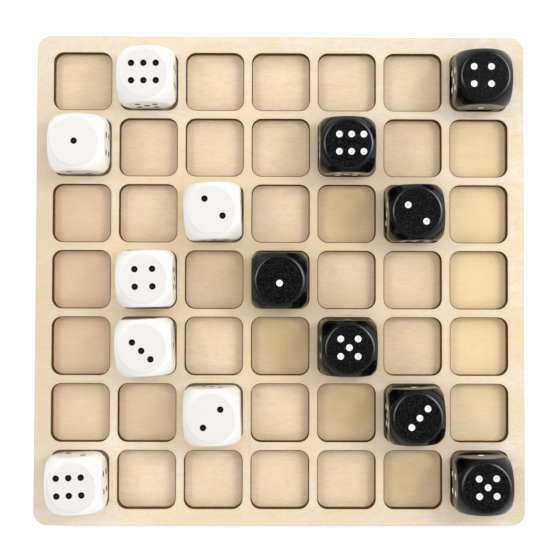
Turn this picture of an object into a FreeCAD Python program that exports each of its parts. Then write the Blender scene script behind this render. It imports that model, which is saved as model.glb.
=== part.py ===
import FreeCAD, Part
import Sketcher
import math
import os

from FreeCAD import Placement, Rotation, Vector

# Dice checkers: a flat board of two glued sheets of laser-cut plywood and fourteen loose dice.
# The upper sheet is a grid of rounded windows, the lower one is the floor of every window,
# and the dice stand in the cells. The origin is at the centre of the underside, +Z is up,
# +X is the right side of the board and +Y its far side. Lengths are in millimetres.

# The game is played on seven by seven cells.
CELLS = 7

SIZES = (
    # a die, edge to edge over its flat faces
    ("die_size", 16.0),
    # the ball that a die's edges and corners lie on, which leaves each flat face a circle
    ("ball_diameter", 21.0),
    # a pip is a shallow drill point
    ("pip_diameter", 1.9),
    ("pip_depth", 0.5),
    # side of the square on which the outer pips of a two, three, four, five or six stand
    ("pip_square", 4.9),
    # step from pip to pip along the rows of a six
    ("pip_step", 3.45),
    # how much wider a window is than a die, both sides together
    ("cell_clearance", 1.0),
    ("window_corner", 2.8),
    # wood left between two windows, and round the outermost ones
    ("rib_width", 2.4),
    ("rim_width", 4.8),
    ("board_corner", 2.5),
    ("base_thickness", 3.0),
    ("grid_thickness", 3.0),
)

# Sizes that follow from the driving ones.
WINDOW = "(sizes.die_size + sizes.cell_clearance)"
PITCH = f"({WINDOW} + sizes.rib_width)"
BOARD = f"({CELLS - 1} * {PITCH} + {WINDOW} + 2 * sizes.rim_width)"
PLAY = "(sizes.cell_clearance / 2)"
HALF_DIE = "(sizes.die_size / 2)"

# A pip is cut with this many sides, because a game of dice has so many of them.
PIP_SIDES = 6

X, Y, Z = Vector(1, 0, 0), Vector(0, 1, 0), Vector(0, 0, 1)

# The faces of a die by number, each with its right and its up axis in the die's own frame.
# They point outwards, opposite faces add up to seven, and one, two and three run clockwise
# round their corner.
FACES = {
    1: (X, Y),
    2: (Y, Z),
    3: (Z, -X),
    4: (Z, X),
    5: (Z, Y),
    6: (Y, X),
}

# The pips of each number: how many steps to the right and how many half squares up.
ENDS = ((-1, 1), (1, -1))
CORNERS = ENDS + ((-1, -1), (1, 1))
MIDDLE = ((0, 0),)
PIPS = {
    1: MIDDLE,
    2: ENDS,
    3: ENDS + MIDDLE,
    4: CORNERS,
    5: CORNERS + MIDDLE,
    6: CORNERS + ((0, 1), (0, -1)),
}

# Where each die stands: its cell, counted from the left and from the far side, the number that
# is up, the number that faces the far side, and how it lies in the play of its cell. That is
# three shares of the play: to the right, to the far side and turned anticlockwise. A share of
# one uses the play up, so an offset and the turn together stay under one.
DICE = (
    ("white_die_1", 2, 1, 6, 2, -0.06, 0.18, 0.12),
    ("white_die_2", 1, 2, 1, 5, 0.00, 0.06, 0.00),
    ("white_die_3", 3, 3, 2, 1, -0.36, 0.24, 0.48),
    ("white_die_4", 2, 4, 4, 1, 0.48, 0.64, 0.30),
    ("white_die_5", 2, 5, 3, 5, 0.12, 0.25, 0.70),
    ("white_die_6", 3, 6, 2, 3, 0.06, -0.48, 0.42),
    ("white_die_7", 1, 7, 6, 2, 0.24, 0.00, 0.60),
    ("black_die_1", 7, 1, 4, 6, -0.30, -0.48, 0.00),
    ("black_die_2", 5, 2, 6, 2, -0.92, -0.92, 0.00),
    ("black_die_3", 6, 3, 2, 1, -0.56, -0.48, 0.40),
    ("black_die_4", 4, 4, 1, 2, -0.92, -0.60, 0.00),
    ("black_die_5", 5, 5, 5, 1, 0.30, -0.12, 0.00),
    ("black_die_6", 6, 6, 3, 1, -0.12, -0.06, 0.36),
    ("black_die_7", 7, 7, 5, 1, -0.42, -0.30, 0.18),
)

doc = FreeCAD.newDocument("dice_checkers")
sheet = doc.addObject("Spreadsheet::Sheet", "sizes")
for row, (alias, value) in enumerate(SIZES, start=1):
    sheet.set(f"A{row}", alias)
    sheet.set(f"B{row}", str(value))
    sheet.setAlias(f"B{row}", alias)
doc.recompute()


def new_body(name):
    body = doc.addObject("PartDesign::Body", name)
    body.Label = name
    return body


def origin_feature(body, role):
    for feature in body.Origin.OriginFeatures:
        if feature.Role == role:
            return feature
    raise RuntimeError(f"{body.Name} has no {role}")


def new_sketch(body, name, plane="XY_Plane", place=("0", "0", "0"), turn=Rotation()):
    """A sketch on a plane of the body's own, moved by three expressions and turned."""
    sketch = body.newObject("Sketcher::SketchObject", name)
    sketch.AttachmentSupport = [(origin_feature(body, plane), "")]
    sketch.MapMode = "FlatFace"
    sketch.AttachmentOffset = Placement(Vector(), turn)
    for axis, expression in zip("xyz", place):
        sketch.setExpression(f"AttachmentOffset.Base.{axis}", expression)
    return sketch


def constrain(sketch, kind, *references, to):
    """Add a constraint that measures something and bind it to an expression."""
    index = sketch.addConstraint(Sketcher.Constraint(kind, *references, 1.0))
    sketch.setExpression(f"Constraints[{index}]", to)


def join_ends(sketch, count, kind):
    """Close a ring of curves, each joined to the next, the last to the first."""
    for this in range(count):
        sketch.addConstraint(Sketcher.Constraint(kind, this, 2, (this + 1) % count, 1))


def draw_square(sketch, side, corner):
    """A square with rounded corners round the sketch's origin, from its lower side on."""
    reach, radius = 10.0, 2.0
    flat = reach - radius
    for quarter in range(4):
        turn = Rotation(Z, 90 * quarter)
        start, end = turn.multVec(Vector(-flat, -reach)), turn.multVec(Vector(flat, -reach))
        centre = turn.multVec(Vector(flat, -flat))
        first = math.radians(90 * (quarter - 1))
        sketch.addGeometry(Part.LineSegment(start, end))
        circle = Part.Circle(centre, Z, radius)
        sketch.addGeometry(Part.ArcOfCircle(circle, first, first + math.pi / 2))
    join_ends(sketch, 8, "Tangent")
    for line, direction in ((0, "Horizontal"), (2, "Vertical"), (4, "Horizontal"), (6, "Vertical")):
        sketch.addConstraint(Sketcher.Constraint(direction, line))
    for arc in (3, 5, 7):
        sketch.addConstraint(Sketcher.Constraint("Equal", 1, arc))
    sketch.addConstraint(Sketcher.Constraint("Equal", 0, 2))
    sketch.addConstraint(Sketcher.Constraint("Symmetric", 1, 3, 5, 3, -1, 1))
    constrain(sketch, "Radius", 1, to=corner)
    constrain(sketch, "DistanceX", 6, 1, 2, 1, to=side)


def add_pad(body, name, sketch, height):
    pad = body.newObject("PartDesign::Pad", name)
    pad.Profile = sketch
    pad.setExpression("Length", height)
    body.Tip = pad
    return pad


def build_base_board():
    """The lower sheet: a plain rounded square, the floor of every cell."""
    body = new_body("base_board")
    outline = new_sketch(body, "base_outline")
    draw_square(outline, BOARD, "sizes.board_corner")
    add_pad(body, "base_sheet", outline, "sizes.base_thickness")
    return body


def build_grid_board():
    """The upper sheet: the same outline, with one window cut and repeated along X and Y."""
    body = new_body("grid_board")
    outline = new_sketch(body, "grid_outline", place=("0", "0", "sizes.base_thickness"))
    draw_square(outline, BOARD, "sizes.board_corner")
    add_pad(body, "grid_sheet", outline, "sizes.grid_thickness")

    first_cell = f"-{PITCH} * {CELLS - 1} / 2"
    top = "sizes.base_thickness + sizes.grid_thickness"
    opening = new_sketch(body, "window_outline", place=(first_cell, first_cell, top))
    draw_square(opening, WINDOW, "sizes.window_corner")
    window = body.newObject("PartDesign::Pocket", "window")
    window.Profile = opening
    window.Type = "ThroughAll"
    body.Tip = window
    doc.recompute()
    sheet_volume = window.BaseFeature.Shape.Volume
    window_volume = sheet_volume - window.Shape.Volume

    windows = body.newObject("PartDesign::LinearPattern", "windows")
    windows.Originals = [window]
    windows.Direction = (origin_feature(body, "X_Axis"), [""])
    windows.Direction2 = (origin_feature(body, "Y_Axis"), [""])
    windows.Occurrences = CELLS
    windows.Occurrences2 = CELLS
    windows.setExpression("Length", f"{CELLS - 1} * {PITCH}")
    windows.setExpression("Length2", f"{CELLS - 1} * {PITCH}")
    body.Tip = windows
    doc.recompute()
    cut = (sheet_volume - windows.Shape.Volume) / window_volume
    if round(cut, 3) != CELLS * CELLS:
        raise RuntimeError(f"the grid has {cut:.2f} windows")
    return body


def drill_pip(body, name, face, across, upward):
    """One pip: a loft from its rim on the face down to its point."""
    right, up = FACES[face]
    out = right.cross(up)
    turn = Rotation(right, up, out, "ZXY")
    step = "sizes.pip_step" if face == 6 else "sizes.pip_square / 2"

    def place(depth):
        return tuple(
            f"({HALF_DIE} - {depth}) * {out[axis]}"
            f" + {step} * {across * right[axis]} + sizes.pip_square / 2 * {upward * up[axis]}"
            for axis in range(3)
        )

    rim = new_sketch(body, f"{name}_rim", place=place("0"), turn=turn)
    corners = [Rotation(Z, 360 * side / PIP_SIDES).multVec(X) for side in range(PIP_SIDES)]
    for this, corner in enumerate(corners):
        rim.addGeometry(Part.LineSegment(corner, corners[(this + 1) % PIP_SIDES]))
    join_ends(rim, PIP_SIDES, "Coincident")
    guide = rim.addGeometry(Part.Circle(Vector(), Z, 1.0), True)
    rim.addConstraint(Sketcher.Constraint("Coincident", guide, 3, -1, 1))
    for side in range(PIP_SIDES):
        rim.addConstraint(Sketcher.Constraint("PointOnObject", side, 1, guide))
    for side in range(1, PIP_SIDES):
        rim.addConstraint(Sketcher.Constraint("Equal", 0, side))
    rim.addConstraint(Sketcher.Constraint("PointOnObject", 0, 1, -1))
    constrain(rim, "Radius", guide, to="sizes.pip_diameter / 2")

    tip = new_sketch(body, f"{name}_tip", place=place("sizes.pip_depth"), turn=turn)
    tip.addGeometry(Part.Point(Vector()))
    tip.addConstraint(Sketcher.Constraint("Coincident", 0, 1, -1, 1))
    doc.recompute()

    pip = body.newObject("PartDesign::SubtractiveLoft", name)
    pip.Profile = rim
    pip.Sections = [(tip, ["Vertex1"])]
    pip.Ruled = True
    body.Tip = pip


def build_die_pattern():
    """The die that all fourteen are copies of: a cube turned down to a ball, then drilled."""
    body = new_body("die_pattern")
    square = new_sketch(body, "die_square", place=("0", "0", f"-{HALF_DIE}"))
    reach = 10.0
    for quarter in range(4):
        turn = Rotation(Z, 90 * quarter)
        start, end = turn.multVec(Vector(-reach, -reach)), turn.multVec(Vector(reach, -reach))
        square.addGeometry(Part.LineSegment(start, end))
    join_ends(square, 4, "Coincident")
    for line, direction in enumerate(("Horizontal", "Vertical", "Horizontal", "Vertical")):
        square.addConstraint(Sketcher.Constraint(direction, line))
    square.addConstraint(Sketcher.Constraint("Equal", 0, 1))
    square.addConstraint(Sketcher.Constraint("Symmetric", 0, 1, 2, 1, -1, 1))
    constrain(square, "DistanceX", 0, 1, 0, 2, to="sizes.die_size")
    cube = add_pad(body, "cube", square, "sizes.die_size")
    doc.recompute()
    cube_volume = cube.Shape.Volume

    # What lies outside the ball, in a band a little higher than the cube.
    waste = new_sketch(body, "ball_waste", plane="XZ_Plane")
    radius, outside, slope = 10.0, 16.0, math.radians(60)
    corner = Vector(radius * math.cos(slope), radius * math.sin(slope))
    ball = Part.Circle(Vector(), Z, radius)
    waste.addGeometry(Part.ArcOfCircle(ball, -slope, slope))
    path = (
        corner,
        Vector(outside, corner.y),
        Vector(outside, -corner.y),
        Vector(corner.x, -corner.y),
    )
    for start, end in zip(path, path[1:]):
        waste.addGeometry(Part.LineSegment(start, end))
    waste.addConstraint(Sketcher.Constraint("Coincident", 0, 3, -1, 1))
    for this, following in (((0, 2), (1, 1)), ((1, 2), (2, 1)), ((2, 2), (3, 1)), ((3, 2), (0, 1))):
        waste.addConstraint(Sketcher.Constraint("Coincident", *this, *following))
    for line, direction in enumerate(("Horizontal", "Vertical", "Horizontal"), start=1):
        waste.addConstraint(Sketcher.Constraint(direction, line))
    waste.addConstraint(Sketcher.Constraint("Symmetric", 0, 1, 0, 2, -1))
    constrain(waste, "Radius", 0, to="sizes.ball_diameter / 2")
    constrain(waste, "DistanceX", -1, 1, 2, 1, to="sizes.die_size")
    constrain(waste, "DistanceY", -1, 1, 2, 1, to="(sizes.die_size + sizes.ball_diameter) / 4")
    rounding = body.newObject("PartDesign::Groove", "rounding")
    rounding.Profile = waste
    rounding.ReferenceAxis = (waste, ["V_Axis"])
    rounding.Angle = 360
    body.Tip = rounding
    doc.recompute()
    blank_volume = rounding.Shape.Volume
    if not blank_volume < cube_volume:
        raise RuntimeError("the ball took nothing off the cube")

    for face, places in PIPS.items():
        for count, (across, upward) in enumerate(places, start=1):
            drill_pip(body, f"pip_{face}_{count}", face, across, upward)
    doc.recompute()
    if not body.Shape.Volume < blank_volume:
        raise RuntimeError("the pips took nothing off the die")
    return body


def place_die(pattern, name, column, line, top, far, right_share, far_share, turn_share):
    """A copy of the pattern, turned to its number and set down on the floor of its cell."""
    body = new_body(name)
    body.BaseFeature = pattern

    up, north = (FACES[number][0].cross(FACES[number][1]) for number in (top, far))
    shown = Rotation(north.cross(up), north, up, "ZXY").inverted()
    flat_radius = math.sqrt(sheet.ball_diameter**2 - sheet.die_size**2) / 2
    free_turn = math.degrees(math.atan2(sheet.cell_clearance / 2, flat_radius))
    body.Placement = Placement(Vector(), Rotation(Z, turn_share * free_turn) * shown)

    middle = (CELLS + 1) / 2
    places = {
        "x": f"{column - middle} * {PITCH} + {right_share} * {PLAY}",
        "y": f"{middle - line} * {PITCH} + {far_share} * {PLAY}",
        "z": f"sizes.base_thickness + {HALF_DIE}",
    }
    for axis, expression in places.items():
        body.setExpression(f"Placement.Base.{axis}", expression)
    return body


die_pattern = build_die_pattern()
parts = [build_base_board(), build_grid_board()]
parts += [place_die(die_pattern, *die) for die in DICE]
doc.recompute()

for item in doc.Objects:
    if "Invalid" in item.State or "Error" in item.State:
        raise RuntimeError(f"{item.Label} did not recompute: {item.State}")
for part in parts:
    if part.Shape.isNull() or not part.Shape.isValid():
        raise RuntimeError(f"{part.Label} has no valid shape")

os.makedirs("parts", exist_ok=True)
for part in parts:
    part.Shape.exportStep(f"parts/{part.Label}.step")
    box = part.Shape.optimalBoundingBox()
    print(f"{part.Label}: {part.Shape.Volume:.1f} mm3, z {box.ZMin:.2f} to {box.ZMax:.2f}")
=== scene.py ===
import bmesh
import bpy
import math

from mathutils import Matrix, Vector


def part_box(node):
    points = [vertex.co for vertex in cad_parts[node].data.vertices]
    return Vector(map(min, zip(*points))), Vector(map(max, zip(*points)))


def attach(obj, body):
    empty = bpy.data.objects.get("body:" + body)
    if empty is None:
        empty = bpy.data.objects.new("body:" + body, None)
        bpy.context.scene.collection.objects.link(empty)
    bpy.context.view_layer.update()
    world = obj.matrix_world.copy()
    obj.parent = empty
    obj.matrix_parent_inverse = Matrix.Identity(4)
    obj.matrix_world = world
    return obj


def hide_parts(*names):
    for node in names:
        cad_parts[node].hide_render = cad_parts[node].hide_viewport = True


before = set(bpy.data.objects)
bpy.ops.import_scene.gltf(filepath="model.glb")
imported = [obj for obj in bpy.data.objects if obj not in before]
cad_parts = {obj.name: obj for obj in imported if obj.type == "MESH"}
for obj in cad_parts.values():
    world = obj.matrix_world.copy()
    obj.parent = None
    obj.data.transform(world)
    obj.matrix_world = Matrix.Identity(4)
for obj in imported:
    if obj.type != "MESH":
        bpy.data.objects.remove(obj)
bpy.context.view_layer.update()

# The camera looks almost straight down on the board from arm's length, a little left of and
# below its middle. The lens is fitted to the edges of the windows, and the picture is cut so
# that the lens looks a little above its centre.
PICTURE = 560
SENSOR = 36.0
FOCAL_PIXELS = 1092.3
OPTICAL_CENTRE = (283.7, 253.6)
CAMERA_PLACE = (-0.00185, -0.00193, 0.326)
CAMERA_TURN = (1.715, -0.504, 0.164)
NEAREST_SEEN = 0.01

camera = bpy.data.objects.new("camera", bpy.data.cameras.new("camera"))
camera.data.sensor_width = SENSOR
camera.data.lens = FOCAL_PIXELS / PICTURE * SENSOR
camera.data.shift_x = (PICTURE / 2 - OPTICAL_CENTRE[0]) / PICTURE
camera.data.shift_y = (OPTICAL_CENTRE[1] - PICTURE / 2) / PICTURE
camera.data.clip_start = NEAREST_SEEN
camera.location = CAMERA_PLACE
camera.rotation_euler = [math.radians(angle) for angle in CAMERA_TURN]
bpy.context.scene.collection.objects.link(camera)
bpy.context.scene.camera = camera
bpy.context.scene.view_settings.view_transform = "Standard"


# The ground is white paper in a cloth tent, which is brighter on the right and beyond the board
# and has a dark hole for the camera in its roof. Two softboxes throw soft shadows, and two strip
# lights along the board's sides glint in the dice.

# The cloth's light on the board, at the roof and at the walls, how many degrees from straight up
# the roof starts and is full, and how much brighter the tent gets to the right and far side.
ROOF_LEVEL = 0.93
WALL_LEVEL = 0.90
ROOF_START, ROOF_FULL = 65, 20
LEAN = (0.38, 0.16, 0.0)
# What polished plastic mirrors: the cloth, and the hole, which starts and is full at so many
# degrees from straight up.
CLOTH_IN_MIRRORS = 0.5
HOLE_LEVEL = 0.05
HOLE_START, HOLE_FULL = 40, 28
# The strip lights in mirrors: how far out on both sides, how far along the board and how high
# over it they start and are full, as parts of a direction, and their level.
STRIPS_START, STRIPS_FULL = (0.38, -0.30, 0.25), (0.52, 0.05, 0.45)
STRIPS_LEVEL = 4.5
# Each softbox: its place, its side, and its light on the board as a share of a plain white sky's.
SOFTBOXES = {
    "right": (Vector((0.36, 0.15, 0.44)), 0.15, 0.15),
    "left": (Vector((-0.32, 0.09, 0.42)), 0.08, 0.08),
}
# The paper, and how much it glows for the camera and in mirrors, so that it stays white there.
PAPER = "#E6E6E6"
PAPER_GLOW = 0.50
PAPER_GLOW_IN_MIRRORS = 0.15
PAPER_SIDE = 8.0


def linear(hex_colour):
    """A colour written as sRGB hex, as the linear values that a shader takes."""
    levels = [int(hex_colour[start:start + 2], 16) / 255 for start in (1, 3, 5)]
    curve = [v / 12.92 if v <= 0.04045 else ((v + 0.055) / 1.055) ** 2.4 for v in levels]
    return (*curve, 1.0)


def add_node(tree, kind, links=None, **settings):
    """Add a node, set its properties, and link or fill the inputs named in links."""
    node = tree.nodes.new(kind)
    for name, value in settings.items():
        setattr(node, name, value)
    for name, value in (links or {}).items():
        if isinstance(value, bpy.types.NodeSocket):
            tree.links.new(value, node.inputs[name])
        else:
            node.inputs[name].default_value = value
    return node


def new_material(name):
    """A material with an empty node tree and its output node."""
    material = bpy.data.materials.new(name)
    material.use_nodes = True
    material.node_tree.nodes.clear()
    output = add_node(material.node_tree, "ShaderNodeOutputMaterial")
    return material, material.node_tree, output


def add_piece(name, mesh_builder, materials):
    """Turn a bmesh into a piece of the scene whose place is in its mesh."""
    mesh = bpy.data.meshes.new(name)
    mesh_builder.to_mesh(mesh)
    mesh_builder.free()
    for material in materials:
        mesh.materials.append(material)
    piece = bpy.data.objects.new(name, mesh)
    bpy.context.scene.collection.objects.link(piece)
    return piece


# White paper is matt, so it shows only the soft shadows of the board and the dice.
paper, tree, output = new_material("white paper")
seen = add_node(tree, "ShaderNodeLightPath")
mirrored = add_node(tree, "ShaderNodeMath", {
    0: seen.outputs["Is Glossy Ray"], 1: seen.outputs["Is Transmission Ray"]}, operation="ADD")
reflected = add_node(tree, "ShaderNodeMath", {0: mirrored.outputs[0], 1: PAPER_GLOW_IN_MIRRORS},
                     operation="MULTIPLY")
glow = add_node(tree, "ShaderNodeMath", {
    0: seen.outputs["Is Camera Ray"], 1: PAPER_GLOW, 2: reflected.outputs[0]}, operation="MULTIPLY_ADD")
surface = add_node(tree, "ShaderNodeBsdfPrincipled", {
    "Base Color": linear(PAPER),
    "Roughness": 0.9,
    "Specular IOR Level": 0.0,
    "Emission Color": (1.0, 1.0, 1.0, 1.0),
    "Emission Strength": glow.outputs[0],
})
tree.links.new(surface.outputs[0], output.inputs["Surface"])

shape = bmesh.new()
bmesh.ops.create_grid(shape, x_segments=1, y_segments=1, size=PAPER_SIDE / 2)
floor = add_piece("floor", shape, [paper])

tent = bpy.data.worlds.new("light tent")
tent.use_nodes = True
tree = tent.node_tree
tree.nodes.clear()
output = add_node(tree, "ShaderNodeOutputWorld")
seen = add_node(tree, "ShaderNodeLightPath")
direction = add_node(tree, "ShaderNodeTexCoord").outputs["Generated"]
split = add_node(tree, "ShaderNodeSeparateXYZ", {0: direction})
height = split.outputs["Z"]
sideways = add_node(tree, "ShaderNodeMath", {0: split.outputs["X"]}, operation="ABSOLUTE").outputs[0]
lean = add_node(tree, "ShaderNodeVectorMath", {0: direction, 1: LEAN}, operation="DOT_PRODUCT")
cloth = add_node(tree, "ShaderNodeMapRange", {
    "Value": height,
    "From Min": math.cos(math.radians(ROOF_START)),
    "From Max": math.cos(math.radians(ROOF_FULL)),
    "To Min": WALL_LEVEL,
    "To Max": ROOF_LEVEL,
}).outputs["Result"]
hole = add_node(tree, "ShaderNodeMapRange", {
    "Value": height,
    "From Min": math.cos(math.radians(HOLE_START)),
    "From Max": math.cos(math.radians(HOLE_FULL)),
})
mirrored = add_node(tree, "ShaderNodeMix", {
    "Factor": hole.outputs["Result"], "A": CLOTH_IN_MIRRORS, "B": HOLE_LEVEL},
    data_type="FLOAT").outputs["Result"]
strips = STRIPS_LEVEL
for along, start, full in zip((sideways, split.outputs["Y"], height), STRIPS_START, STRIPS_FULL):
    # each axis dims what the one before let through
    strips = add_node(tree, "ShaderNodeMapRange", {
        "Value": along, "From Min": start, "From Max": full, "To Max": strips}).outputs["Result"]
mirrored = add_node(tree, "ShaderNodeMath", {0: mirrored, 1: strips}, operation="ADD").outputs[0]
level = add_node(tree, "ShaderNodeMix", {
    "Factor": seen.outputs["Is Glossy Ray"], "A": cloth, "B": mirrored},
    data_type="FLOAT").outputs["Result"]
level = add_node(tree, "ShaderNodeMath", {0: lean.outputs["Value"], 1: level, 2: level},
                 operation="MULTIPLY_ADD").outputs[0]
level = add_node(tree, "ShaderNodeMix", {
    "Factor": seen.outputs["Is Camera Ray"], "A": level, "B": 1.0},
    data_type="FLOAT").outputs["Result"]
background = add_node(tree, "ShaderNodeBackground", {
    "Color": (1.0, 1.0, 1.0, 1.0),
    "Strength": level,
})
tree.links.new(background.outputs[0], output.inputs["Surface"])
bpy.context.scene.world = tent

for name, (place, side, share) in SOFTBOXES.items():
    lamp = bpy.data.objects.new(f"{name} softbox", bpy.data.lights.new(f"{name} softbox", "AREA"))
    lamp.data.shape = "SQUARE"
    lamp.data.size = side
    lamp.data.energy = share * math.pi ** 2 * place.length ** 3 / place.z
    lamp.location = place
    lamp.rotation_euler = place.to_track_quat("Z", "Y").to_euler()
    bpy.context.scene.collection.objects.link(lamp)


# The lower board is one sheet of 3 mm birch plywood, cut to a rounded square by a laser. Its
# upper veneer is the floor that shows in every window: cream with fine grain from left to
# right, olive and pink patches of painted shadow beside the dice, painted shade down the left
# side, and edges burnt brown.
MM = 0.001
BOARD_CORNER = 3.8 * MM
CORNER_STEPS = 8
# How wide the burnt arrises are, round the board and round a window of the upper sheet.
OUTER_ARRIS = 0.06 * MM
WINDOW_ARRIS = 0.18 * MM
base_low, base_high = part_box("base_board")
grid_low, grid_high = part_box("grid_board")
BOARD_SIDE = base_high.x - base_low.x

# The grain, from coarse to fine: length along it and width across it in mm, detail, the noise
# where a tone starts and where it is full, its strength there, and the tone. Real fibres and
# pores are under 0.1 mm wide, and are drawn coarser so that they show.
GRAIN = {
    "flush": (13, 7, 2, 0.42, 0.62, 0.40, "#EFD6B6"),
    "straw": (3.6, 2.0, 3, 0.48, 0.62, 0.42, "#EDDFAE"),
    "rose": (3.0, 1.7, 3, 0.48, 0.62, 0.28, "#F0CEAE"),
    "bands": (26, 2.2, 3, 0.45, 0.75, 0.10, "#C9A878"),
    "fibres": (2.0, 0.36, 3, 0.45, 0.70, 0.16, "#B48D58"),
    "pores": (1.0, 0.30, 1, 0.70, 0.76, 0.30, "#8A6A42"),
}
BLOTCHES = (30, 14, 3, 0.36, 0.66, 1.0)
# Each layer of grain is drawn so far from the one before that their noises don't line up.
LAYER_SHIFT = 3.7
# A patch starts and is full at these shares of its half length and half width.
PATCH_START, PATCH_FULL = 1.25, 0.35

# Patches of other tones in the floor: middle, half length and half width in mm, strength, tone.
PINK_SHADE, HONEY, OLIVE_SHADOW = "#D8B38F", "#F9DC9E", "#BD9F5C"
FLOOR_PATCHES = (
    # The olive patches are painted shadows, cast on these cells by the dice to their right and beyond them.
    (21.0, 21.0, 13.0, 11.0, 0.50, OLIVE_SHADOW),
    (-17.0, 2.0, 13.0, 10.0, 0.25, OLIVE_SHADOW),
    (1.0, -18.0, 13.0, 11.0, 0.52, OLIVE_SHADOW),
    (20.0, -38.0, 13.0, 11.0, 0.52, OLIVE_SHADOW),
    (39.0, -58.0, 13.0, 11.0, 0.50, OLIVE_SHADOW),
    # The small pink patch is a painted shadow of the white dice beside it. The long one is painted shade,
    # darker down the left side, away from the light on the right.
    (-39.0, -38.0, 12.0, 10.0, 0.35, PINK_SHADE),
    (-62.0, -8.0, 22.0, 48.0, 0.45, PINK_SHADE),
    (62.0, 0.0, 16.0, 60.0, 0.45, HONEY),
)

# The tones of a cut edge from its foot up, by shares of the sheet's thickness, and the width and
# length of the strokes that the beam left on it.
EDGE_TONES = ((0.0, "#A9834F"), (0.31, "#96713E"), (0.36, "#432E14"), (0.65, "#483418"),
              (0.69, "#6E5025"), (1.0, "#3A270C"))
STROKE_WIDTH, STROKE_LENGTH = 0.4 * MM, 25 / 3 * MM
VENEER, EDGE = 0, 1


def rounded_square(shape, side, corner, height):
    """One flat face: a square with round corners, at a height over the ground."""
    made = bmesh.ops.create_grid(shape, x_segments=1, y_segments=1, size=side / 2,
                                 matrix=Matrix.Translation((0, 0, height)))
    rounded = bmesh.ops.bevel(shape, geom=made["verts"], offset=corner, offset_type="OFFSET",
                              segments=CORNER_STEPS, profile=0.5, affect="VERTICES", material=-1)
    return max(rounded["verts"][0].link_faces, key=lambda face: face.calc_area())


def veneer(name, deep_tone, pale_tone, patches, shift=0.0, smoked=False):
    """The face of a plywood sheet: grain along X, patches of other tones and of painted shade, and soot."""
    material, tree, output = new_material(name)
    place = add_node(tree, "ShaderNodeTexCoord").outputs["Object"]
    colour = linear(pale_tone)
    noise = {}
    layers = {"blotches": (*BLOTCHES, deep_tone), **GRAIN}
    for count, (layer, settings) in enumerate(layers.items()):
        length, width, detail, start, full, strength, tone = settings
        stretch = add_node(tree, "ShaderNodeMapping", {
            "Vector": place,
            "Location": (shift + LAYER_SHIFT * count, shift, shift),
            "Scale": (1 / (length * MM), 1 / (width * MM), 1 / (width * MM)),
        })
        noise[layer] = add_node(tree, "ShaderNodeTexNoise", {
            "Vector": stretch.outputs[0], "Scale": 1.0, "Detail": detail, "Roughness": 0.55,
        }).outputs["Fac"]
        amount = add_node(tree, "ShaderNodeMapRange", {
            "Value": noise[layer], "From Min": start, "From Max": full, "To Max": strength})
        colour = add_node(tree, "ShaderNodeMix", {0: amount.outputs[0], 6: colour, 7: linear(tone)},
                          data_type="RGBA").outputs[2]

    for x, y, half_length, half_width, strength, tone in patches:
        stretch = add_node(tree, "ShaderNodeMapping", {
            "Vector": place,
            "Location": (-x / half_length, -y / half_width, 0),
            "Scale": (1 / (half_length * MM), 1 / (half_width * MM), 0),
        })
        away = add_node(tree, "ShaderNodeVectorMath", {0: stretch.outputs[0]}, operation="LENGTH")
        amount = add_node(tree, "ShaderNodeMapRange", {
            "Value": away.outputs["Value"],
            "From Min": PATCH_START,
            "From Max": PATCH_FULL,
            "To Max": strength,
        })
        colour = add_node(tree, "ShaderNodeMix", {0: amount.outputs[0], 6: colour, 7: linear(tone)},
                          data_type="RGBA").outputs[2]

    if smoked:
        soot = add_node(tree, "ShaderNodeAttribute", attribute_name="soot").outputs["Fac"]
        for power, strength, tone in SOOT:
            fading = add_node(tree, "ShaderNodeMath", {0: soot, 1: power}, operation="POWER")
            amount = add_node(tree, "ShaderNodeMath", {0: fading.outputs[0], 1: strength},
                              operation="MULTIPLY")
            colour = add_node(tree, "ShaderNodeMix", {0: amount.outputs[0], 6: colour, 7: linear(tone)},
                              data_type="RGBA").outputs[2]

    bump = add_node(tree, "ShaderNodeBump", {
        "Height": noise["fibres"], "Strength": 0.15, "Distance": 0.1 * MM})
    roughness = add_node(tree, "ShaderNodeMapRange", {
        "Value": noise["fibres"], "From Min": 0.3, "From Max": 0.7, "To Min": 0.58, "To Max": 0.72})
    surface = add_node(tree, "ShaderNodeBsdfPrincipled", {
        "Base Color": colour,
        "Roughness": roughness.outputs[0],
        "Specular IOR Level": 0.15,
        "Normal": bump.outputs[0],
    })
    tree.links.new(surface.outputs[0], output.inputs["Surface"])
    return material


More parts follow.
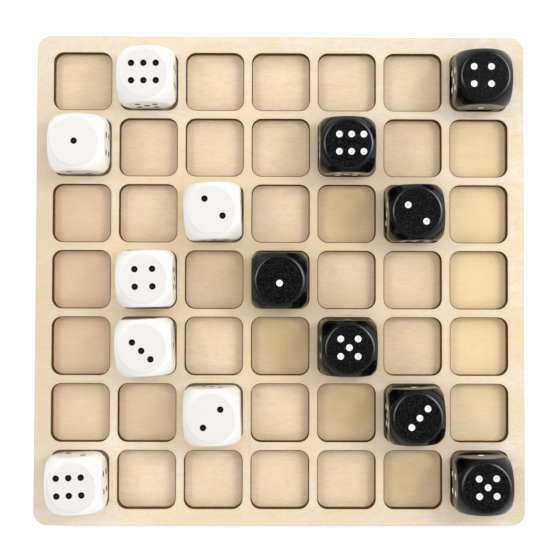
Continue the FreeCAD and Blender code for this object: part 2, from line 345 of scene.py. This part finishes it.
def burnt_edge(name, bottom, top):
    """Laser-cut plywood edge: char, darkest in the middle ply and thin where the beam came out."""
    material, tree, output = new_material(name)
    place = add_node(tree, "ShaderNodeTexCoord").outputs["Object"]
    split = add_node(tree, "ShaderNodeSeparateXYZ", {0: place})
    level = add_node(tree, "ShaderNodeMapRange", {
        "Value": split.outputs["Z"], "From Min": bottom, "From Max": top})
    plies = add_node(tree, "ShaderNodeValToRGB", {"Fac": level.outputs["Result"]})
    tones = plies.color_ramp.elements
    tones[0].color = linear(EDGE_TONES[0][1])
    tones[1].color = linear(EDGE_TONES[-1][1])
    for position, tone in EDGE_TONES[1:-1]:
        tones.new(position).color = linear(tone)
    stripes = add_node(tree, "ShaderNodeMapping", {
        "Vector": place,
        "Scale": (1 / STROKE_WIDTH, 1 / STROKE_WIDTH, 1 / STROKE_LENGTH),
    })
    strokes = add_node(tree, "ShaderNodeTexNoise", {
        "Vector": stripes.outputs[0], "Scale": 1.0, "Detail": 2.0})
    shade = add_node(tree, "ShaderNodeMapRange", {
        "Value": strokes.outputs["Fac"],
        "From Min": 0.3,
        "From Max": 0.7,
        "To Min": 0.75,
        "To Max": 1.25,
    })
    colour = add_node(tree, "ShaderNodeVectorMath", {
        0: plies.outputs["Color"], "Scale": shade.outputs["Result"]}, operation="SCALE")
    bump = add_node(tree, "ShaderNodeBump", {
        "Height": strokes.outputs["Fac"], "Strength": 0.3, "Distance": 0.05 * MM})
    surface = add_node(tree, "ShaderNodeBsdfPrincipled", {
        "Base Color": colour.outputs[0],
        "Roughness": 0.8,
        "Specular IOR Level": 0.1,
        "Normal": bump.outputs[0],
    })
    tree.links.new(surface.outputs[0], output.inputs["Surface"])
    return material


def sheet_from(shape, faces, thickness):
    """Give flat faces their thickness upwards, and round the burnt arrises of the sheet."""
    raised = bmesh.ops.extrude_face_region(shape, geom=faces)
    moved = [item for item in raised["geom"] if isinstance(item, bmesh.types.BMVert)]
    bmesh.ops.translate(shape, verts=moved, vec=(0, 0, thickness))
    bmesh.ops.recalc_face_normals(shape, faces=shape.faces)
    for face in shape.faces:
        # a face lies flat or stands upright
        face.material_index = VENEER if round(abs(face.normal.z)) == 1 else EDGE
        face.smooth = face.material_index == EDGE
    near_rim = BOARD_SIDE / 2 - BOARD_CORNER
    outer, inner = [], []
    for edge in shape.edges:
        if {face.material_index for face in edge.link_faces} == {VENEER, EDGE}:
            furthest = max(abs(end.co[axis]) for end in edge.verts for axis in (0, 1))
            (outer if furthest > near_rim else inner).append(edge)
    for edges, width in ((outer, OUTER_ARRIS), (inner, WINDOW_ARRIS)):
        rounded = bmesh.ops.bevel(shape, geom=edges, offset=width, offset_type="OFFSET", segments=3,
                                  profile=0.5, affect="EDGES", material=-1)
        for face in rounded["faces"]:
            face.material_index = EDGE
            face.smooth = True


# Sanded birch left bare: a matt cream that its fibres and blotches of darker wood break up, with
# patches of painted shadow beside the dice, painted shade down the left side and a honey tone on the right.
floor_veneer = veneer("birch veneer, floor", "#EED6B3", "#F7E4C7", FLOOR_PATCHES)
# Charred edge: a dead brown, with the darker middle ply as a line along the board's side.
base_edge = burnt_edge("laser-cut plywood edge, lower", base_low.z, base_high.z)
shape = bmesh.new()
square = rounded_square(shape, BOARD_SIDE, BOARD_CORNER, base_low.z)
sheet_from(shape, [square], base_high.z - base_low.z)
base_sheet = add_piece("base_sheet", shape, [floor_veneer, base_edge])
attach(base_sheet, "board")
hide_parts("base_board")


# The upper board is a second sheet of the same plywood, glued on the lower one, with seven by
# seven round-cornered windows. The laser left the walls of the windows dark brown and a thin
# veil of soot round each of them. Its cut narrows downwards, so the walls show from above.
CELLS = 7
PITCH = 19.4 * MM
# A window between its walls at the top, its corners, and how far each wall leans in at its foot.
WINDOW = 16.74 * MM
WINDOW_CORNER = 2.8 * MM
CUT_TAPER = 0.04 * MM
# How wide the veil of soot is. Soot is 1 at the wall and 0 where the veil ends, and a point with
# more than this belongs to the cut.
VEIL = 1.15 * MM
ON_THE_CUT = 0.8
# This sheet is cut from another part of the veneer than the floor.
TOP_SHIFT = 11.3

# The soot beside a window: how fast it fades, its strength at the wall, and its tone.
SOOT = ((0.6, 0.16, "#E6C48E"), (9.0, 0.75, "#5C3A10"))
# Patches on the top sheet, as for the floor: the left side painted darker and greener, away from the light
# on the right, and the middle painted darker and yellower as shade of the dice.
TOP_PAINTED_SHADE = ((-68.0, 0.0, 14.0, 80.0, 0.45, "#CDBA9C"), (0.0, -4.0, 74.0, 74.0, 0.50, "#DFC596"))

# The same bare birch, paler and greyer than the floor, browned by smoke beside the cuts, with
# painted shade on its left side and in its middle.
top_veneer = veneer("birch veneer, top", "#EADECB", "#F2EBE0", TOP_PAINTED_SHADE, TOP_SHIFT, smoked=True)
grid_edge = burnt_edge("laser-cut plywood edge, upper", grid_low.z, grid_high.z)
shape = bmesh.new()
soot = shape.verts.layers.float.new("soot")
square = rounded_square(shape, BOARD_SIDE, BOARD_CORNER, grid_low.z)
outlines = list(square.edges)
bmesh.ops.delete(shape, geom=[square], context="FACES_ONLY")
veils = []
for column in range(CELLS):
    for row in range(CELLS):
        opening = rounded_square(shape, WINDOW + 2 * VEIL, WINDOW_CORNER + VEIL, grid_low.z)
        centre = Vector((column - CELLS // 2, row - CELLS // 2, 0)) * PITCH
        bmesh.ops.translate(shape, verts=opening.verts, vec=centre)
        veil = bmesh.ops.inset_individual(shape, faces=[opening], thickness=VEIL,
                                          use_even_offset=True)["faces"]
        outlines += [edge for face in veil for edge in face.edges if edge.is_boundary]
        veils += veil
        for vertex in opening.verts:
            vertex[soot] = 1.0
        bmesh.ops.delete(shape, geom=[opening], context="FACES_ONLY")
filled = bmesh.ops.triangle_fill(shape, use_beauty=True, use_dissolve=False, edges=outlines,
                                 normal=Vector((0, 0, 1)))
between = [item for item in filled["geom"] if isinstance(item, bmesh.types.BMFace)]
sheet_from(shape, veils + between, grid_high.z - grid_low.z)
for vertex in shape.verts:
    if vertex[soot] > ON_THE_CUT:
        centre = Vector([round(along / PITCH) * PITCH for along in vertex.co.xy] + [vertex.co.z])
        deep = (grid_high.z - vertex.co.z) / (grid_high.z - grid_low.z)
        vertex.co = vertex.co.lerp(centre, deep * CUT_TAPER / (WINDOW / 2))
grid_sheet = add_piece("grid_sheet", shape, [top_veneer, grid_edge])
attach(grid_sheet, "board")
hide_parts("grid_board")


# The dice are moulded plastic, 16 mm over their faces and tumbled to a ball of 21 mm, which
# leaves a flat circle on each face. They are polished, dust and handling have dulled the flats
# that lie on top, which on the white dice are also painted darker as shade, and the pips are
# drilled a little off centre and filled with paint.
DIE_SIZE = 16.0 * MM
BALL_RADIUS = 10.5 * MM
FLAT_RADIUS = math.sqrt(BALL_RADIUS ** 2 - DIE_SIZE ** 2 / 4)
RIM_SOFTNESS = 0.38 * MM
# A flat's dulled finish, painted darker as shade on the white dice, reaches this far down its
# rounded rim, as a share of the softness.
DULLED_AND_SHADED_RIM = 0.62
ROUND_STEPS = 96
SHOULDER_STEPS = 2
MERGED = 0.01 * MM
# A die keeps at least this far from the walls of its window.
CLEAR = 0.02 * MM
PIP_STEPS = 24
PIP_SQUARE = 4.9 * MM
PIP_STEP = 3.45 * MM
POLISHED, DULLED_AND_SHADED, PAINTED = 0, 1, 2

# A pip from its rim down to its point, as shares of its radius and of its depth.
PIP_PROFILE = ((0.96, 0.12), (0.85, 0.40), (0.60, 0.72), (0.30, 0.93), (0.08, 1.0))
PIP_DEPTH = 0.45 * MM

X, Y, Z = Vector((1, 0, 0)), Vector((0, 1, 0)), Vector((0, 0, 1))
# The faces of a die by number, each with its right and its up axis in the die's own frame.
FACES = {1: (X, Y), 2: (Y, Z), 3: (Z, -X), 4: (Z, X), 5: (Z, Y), 6: (Y, X)}
ENDS = ((-1, 1), (1, -1))
CORNERS = ENDS + ((-1, -1), (1, 1))
MIDDLE = ((0, 0),)
PIPS = {1: MIDDLE, 2: ENDS, 3: ENDS + MIDDLE, 4: CORNERS, 5: CORNERS + MIDDLE,
        6: CORNERS + ((0, 1), (0, -1))}

# Each die: the number that is up, the number that faces the far side, its turn in its cell in
# degrees, how far the drill missed the middle of the top face to the right and to the far
# side in mm, and how many degrees the pips are turned there.
DICE = {
    "white_die_1": (6, 2, 0.5, -0.11, 0.29, 0.0),
    "white_die_2": (1, 5, 0.0, -0.23, 0.09, 0.0),
    "white_die_3": (2, 1, 2.0, 0.52, 0.80, 0.0),
    "white_die_4": (4, 1, 1.3, 0.12, 0.23, 0.0),
    "white_die_5": (3, 5, 2.9, -0.27, -0.71, 0.0),
    "white_die_6": (2, 3, 1.8, 0.15, -0.14, 0.0),
    "white_die_7": (6, 2, 2.5, -0.84, 0.17, 0.0),
    "black_die_1": (4, 6, 0.0, -0.98, 0.07, 0.0),
    "black_die_2": (6, 2, 0.0, 0.84, 0.17, 0.0),
    "black_die_3": (2, 1, 1.7, -0.15, -0.39, 1.4),
    "black_die_4": (1, 2, 0.0, 0.00, -0.73, 0.0),
    "black_die_5": (5, 1, 0.0, -0.19, 0.39, 0.0),
    "black_die_6": (3, 1, 1.5, 0.41, 0.06, 2.4),
    "black_die_7": (5, 1, 0.8, 0.26, 0.25, 0.2),
}

# Dust and fine scratches are smaller than this, and are drawn as coarse as this to show.
SPECK = 0.30 * MM


def moulded_plastic(name, colour, speck_colour, roughness, gloss, speckle):
    """Opaque plastic, polished or dulled, with specks as strong as speckle says."""
    material, tree, output = new_material(name)
    place = add_node(tree, "ShaderNodeTexCoord").outputs["Object"]
    specks = add_node(tree, "ShaderNodeTexNoise", {"Vector": place, "Scale": 1 / SPECK, "Detail": 2.0})
    amount = add_node(tree, "ShaderNodeMapRange", {
        "Value": specks.outputs["Fac"], "From Min": 0.5, "From Max": 0.68, "To Max": speckle})
    tone = add_node(tree, "ShaderNodeMix", {
        0: amount.outputs["Result"], 6: linear(colour), 7: linear(speck_colour)}, data_type="RGBA")
    bump = add_node(tree, "ShaderNodeBump", {
        "Height": specks.outputs["Fac"], "Strength": 0.2 * speckle, "Distance": 0.05 * MM})
    surface = add_node(tree, "ShaderNodeBsdfPrincipled", {
        "Base Color": tone.outputs[2], "Roughness": roughness, "Specular IOR Level": gloss,
        "Normal": bump.outputs[0]})
    tree.links.new(surface.outputs[0], output.inputs["Surface"])
    return material


def pip_paint(name, colour, painted_centre_light, gloss):
    """Enamel in a drilled pip, with painted light towards the drill's point: a paler painted sheen in dark
    enamel, a darker painted shade in pale enamel.
    """
    material, tree, output = new_material(name)
    depth = add_node(tree, "ShaderNodeAttribute", attribute_name="depth").outputs["Fac"]
    # Towards the drill's point the enamel turns to its painted centre light.
    towards_point = add_node(tree, "ShaderNodeMapRange", {"Value": depth, "From Min": 0.70, "From Max": 1.0})
    tone = add_node(tree, "ShaderNodeMix", {
        0: towards_point.outputs["Result"], 6: linear(colour), 7: linear(painted_centre_light)}, data_type="RGBA")
    surface = add_node(tree, "ShaderNodeBsdfPrincipled", {
        "Base Color": tone.outputs[2], "Roughness": 0.45, "Specular IOR Level": gloss})
    tree.links.new(surface.outputs[0], output.inputs["Surface"])
    return material


def turned_blank(shape):
    """A cube turned down to a ball, around the origin: six flat circles joined by shoulders."""
    for right, up in FACES.values():
        out = right.cross(up)
        circle = bmesh.ops.create_circle(shape, cap_ends=True, segments=ROUND_STEPS, radius=FLAT_RADIUS,
                                         matrix=Matrix.Translation((0, 0, DIE_SIZE / 2)))
        side = circle["verts"]
        ring = list({edge for vertex in side for edge in vertex.link_edges})
        for step in range(SHOULDER_STEPS):
            grown = bmesh.ops.extrude_edge_only(shape, edges=ring)["geom"]
            ring = [item for item in grown if isinstance(item, bmesh.types.BMEdge)]
            corners = [item for item in grown if isinstance(item, bmesh.types.BMVert)]
            side = side + corners
            for vertex in corners:
                # towards the seam with the next side, where the ball is as far out as it is up
                reach = max(abs(vertex.co.x), abs(vertex.co.y))
                seam = Vector((vertex.co.x / reach, vertex.co.y / reach, 1)).normalized() * BALL_RADIUS
                vertex.co = vertex.co.lerp(seam, 1 / (SHOULDER_STEPS - step)).normalized() * BALL_RADIUS
        bmesh.ops.transform(shape, verts=side, matrix=Matrix((right, up, out)).transposed().to_4x4())
    bmesh.ops.remove_doubles(shape, verts=shape.verts, dist=MERGED)
    rims = [edge for edge in shape.edges if any(len(face.verts) == ROUND_STEPS for face in edge.link_faces)]
    bmesh.ops.bevel(shape, geom=rims, offset=RIM_SOFTNESS, offset_type="OFFSET", segments=4,
                    profile=0.5, affect="EDGES", material=-1)
    bmesh.ops.recalc_face_normals(shape, faces=shape.faces)
    for face in shape.faces:
        face.smooth = True


def drill_pips(shape, depth_layer, number, radius, shift, turn, finish):
    """Open one flat of the blank and fill it again round its pips."""
    right, up = FACES[number]
    out = right.cross(up)
    flat = max(shape.faces, key=lambda face: face.calc_center_median().dot(out))
    edges = list(flat.edges)
    bmesh.ops.delete(shape, geom=[flat], context="FACES_ONLY")
    for face in shape.faces:
        if face.calc_center_median().dot(out) > DIE_SIZE / 2 - DULLED_AND_SHADED_RIM * RIM_SOFTNESS:
            face.material_index = finish
    step = PIP_STEP if number == 6 else PIP_SQUARE / 2
    for across, upward in PIPS[number]:
        spot = Matrix.Rotation(turn, 3, out) @ (right * across * step + up * upward * PIP_SQUARE / 2)
        centre = out * DIE_SIZE / 2 + spot + shift
        frame_of_pip = Matrix.Translation(centre) @ Matrix((right, up, out)).transposed().to_4x4()
        circle = bmesh.ops.create_circle(shape, segments=PIP_STEPS, radius=radius,
                                         matrix=frame_of_pip)["verts"]
        ring = list({edge for vertex in circle for edge in vertex.link_edges})
        edges += ring
        reach = radius
        for share, deep in PIP_PROFILE:
            grown = bmesh.ops.extrude_edge_only(shape, edges=ring)["geom"]
            ring = [item for item in grown if isinstance(item, bmesh.types.BMEdge)]
            corners = [item for item in grown if isinstance(item, bmesh.types.BMVert)]
            bmesh.ops.scale(shape, verts=corners, vec=Vector((1, 1, 1)) * share * radius / reach,
                            space=Matrix.Translation(-centre))
            for vertex in corners:
                # the scale about the centre leaves the depth to be set
                vertex.co += out * (DIE_SIZE / 2 - PIP_DEPTH * deep - vertex.co.dot(out))
                vertex[depth_layer] = deep
            for item in grown:
                if isinstance(item, bmesh.types.BMFace):
                    item.material_index = PAINTED
                    item.smooth = True
            reach = share * radius
        bmesh.ops.edgeloop_fill(shape, edges=ring, mat_nr=PAINTED, use_smooth=True)
    filled = bmesh.ops.triangle_fill(shape, use_beauty=True, use_dissolve=False, edges=edges, normal=out)
    for item in filled["geom"]:
        if isinstance(item, bmesh.types.BMFace):
            item.material_index = finish
            item.smooth = False


def finished_die(name, top, far, turn, miss_right, miss_far, pip_turn, pip_radius, spread, materials):
    """One die: blank, pips, and its place and turn in its cell, from the CAD node's box."""
    shape = bmesh.new()
    depth_layer = shape.verts.layers.float.new("depth")
    turned_blank(shape)
    up, north = (FACES[number][0].cross(FACES[number][1]) for number in (top, far))
    east = north.cross(up)
    for number in FACES:
        if number == top:
            shift = (east * miss_right + north * miss_far) * MM
            drill_pips(shape, depth_layer, number, pip_radius, shift, math.radians(pip_turn), DULLED_AND_SHADED)
        else:
            drill_pips(shape, depth_layer, number, pip_radius, Vector(), 0.0, POLISHED)
    bmesh.ops.recalc_face_normals(shape, faces=shape.faces)

    # level with the top of the board, a side is flat over this much to each side of its middle
    low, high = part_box(name)
    middle = (low + high) / 2
    half_side = math.sqrt(FLAT_RADIUS ** 2 - (middle.z - grid_high.z) ** 2)
    angle = math.radians(turn)
    reach = (DIE_SIZE / 2 * math.cos(angle) + half_side * math.sin(angle)) * spread
    room = WINDOW / 2 - CUT_TAPER - reach - CLEAR
    for axis in (0, 1):
        cell = round(middle[axis] / PITCH) * PITCH
        middle[axis] = cell + max(-room, min(room, middle[axis] - cell))
    standing = Matrix.Diagonal((spread, spread, 1, 1)) @ Matrix((east, north, up)).to_4x4()
    turned = Matrix.Rotation(angle, 4, "Z")
    bmesh.ops.transform(shape, verts=shape.verts, matrix=Matrix.Translation(middle) @ turned @ standing)
    piece = add_piece(f"{name}_finished", shape, materials)
    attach(piece, name)
    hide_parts(name)
    return piece


# Each colour of die: the radius of its pips, how many times as wide as 16 mm it looks, and its
# materials. Polished shoulders mirror the tent and the strip lights, the dulled flat on top
# scatters them and on the white dice is painted darker as shade, and enamel fills the pips
# without a shine, with a painted sheen at the bottom of the black pips and painted shade at the
# bottom of the white ones.
MOULDS = {
    "white": (0.91 * MM, 1.01, (
        moulded_plastic("white moulded plastic, polished", "#FAF9F6", "#F5F3F0", 0.22, 0.5, 0.3),
        # The dulled white is darker than the polished one: painted shade on the flat that lies on top.
        moulded_plastic("white moulded plastic, dulled, painted shade", "#EAE6E4", "#E2DEDC", 0.35, 0.5, 0.4),
        # The paler centre of the black enamel is a painted sheen.
        pip_paint("black enamel in the pips", "#050505", "#2A2622", 0.06),
    )),
    "black": (0.94 * MM, 1.0, (
        moulded_plastic("black moulded plastic, polished", "#070708", "#121214", 0.14, 0.3, 0.3),
        moulded_plastic("black moulded plastic, dulled", "#060607", "#303032", 0.22, 0.4, 0.8),
        # The greyer centre of the white enamel is painted shade in the hollow.
        pip_paint("white enamel in the pips", "#F6F6F5", "#D2D2D2", 0.4),
    )),
}
for name, placing in DICE.items():
    colour = name.split("_")[0]
    die = finished_die(name, *placing, *MOULDS[colour])
